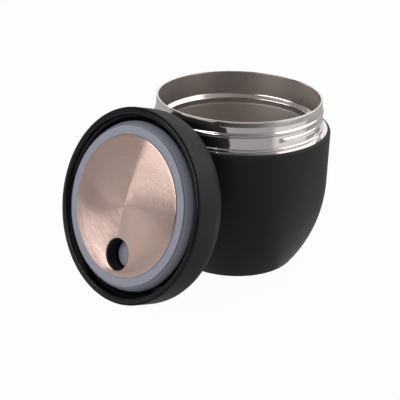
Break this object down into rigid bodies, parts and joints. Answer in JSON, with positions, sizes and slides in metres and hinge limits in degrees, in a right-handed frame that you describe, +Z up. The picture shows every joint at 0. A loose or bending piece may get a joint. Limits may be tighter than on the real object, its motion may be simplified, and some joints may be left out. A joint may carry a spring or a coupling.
{
  "type": "insulated food jar",
  "caption": "Wide-mouth insulated food jar with a threaded steel neck and a screw lid that leans open against it, showing its seal ring, steel plate and vent.",
  "frame": {"origin": "on the floor at the centre of the jar's foot, on the jar's axis", "axes": "+Z up along the jar's axis; the lid leans on the jar's -X side with its underside facing -X and slightly up; +Y to the left of someone who looks at the lid's underside from -X"},
  "size_m": [0.1519, 0.1048, 0.1043],
  "materials": {
    "coat": "matte",
    "polished_steel": "polished",
    "vessel_steel": "satin",
    "base_steel": "satin",
    "solder": "satin",
    "cover_coat": "matte",
    "pad_silicone": "matte",
    "getter_alloy": "matte",
    "foil": "polished",
    "liner": "gloss",
    "foam": "matte",
    "plate_steel": "satin",
    "bond": "satin",
    "seal_silicone": "satin",
    "vent_silicone": "satin"
  },
  "bodies": {
    "jar": {"outer_shell": "coat", "neck_sleeve": "polished_steel", "inner_vessel": "vessel_steel", "outer_base": "base_steel", "vacuum_plug": "solder", "base_cover": "cover_coat", "foot_pad": "pad_silicone", "getter": "getter_alloy", "getter_strap": "base_steel", "heat_shield": "foil", "heat_shield_bowl": "foil"},
    "seal": {"lid_seal": "seal_silicone"},
    "lid": {"lid_shell": "coat", "lid_liner": "liner", "lid_insulation": "foam", "lid_plate": "plate_steel", "plate_bond": "bond"},
    "vent": {"vent_plug": "vent_silicone"}
  },
  "joints": [
    {"name": "lid_lift", "type": "slide", "parent": "jar", "child": "seal", "axis": [0, 0, 1], "range_m": [0, 0.11]},
    {"name": "lid_turn", "type": "hinge", "parent": "seal", "child": "lid", "pos_m": [-0.08433, 0, 0.05415], "axis": [0.9573, 0, -0.289], "range_deg": [0, 450]},
    {"name": "vent_pull", "type": "slide", "parent": "lid", "child": "vent", "axis": [0.9573, 0, -0.289], "range_m": [0, 0.005]}
  ]
}
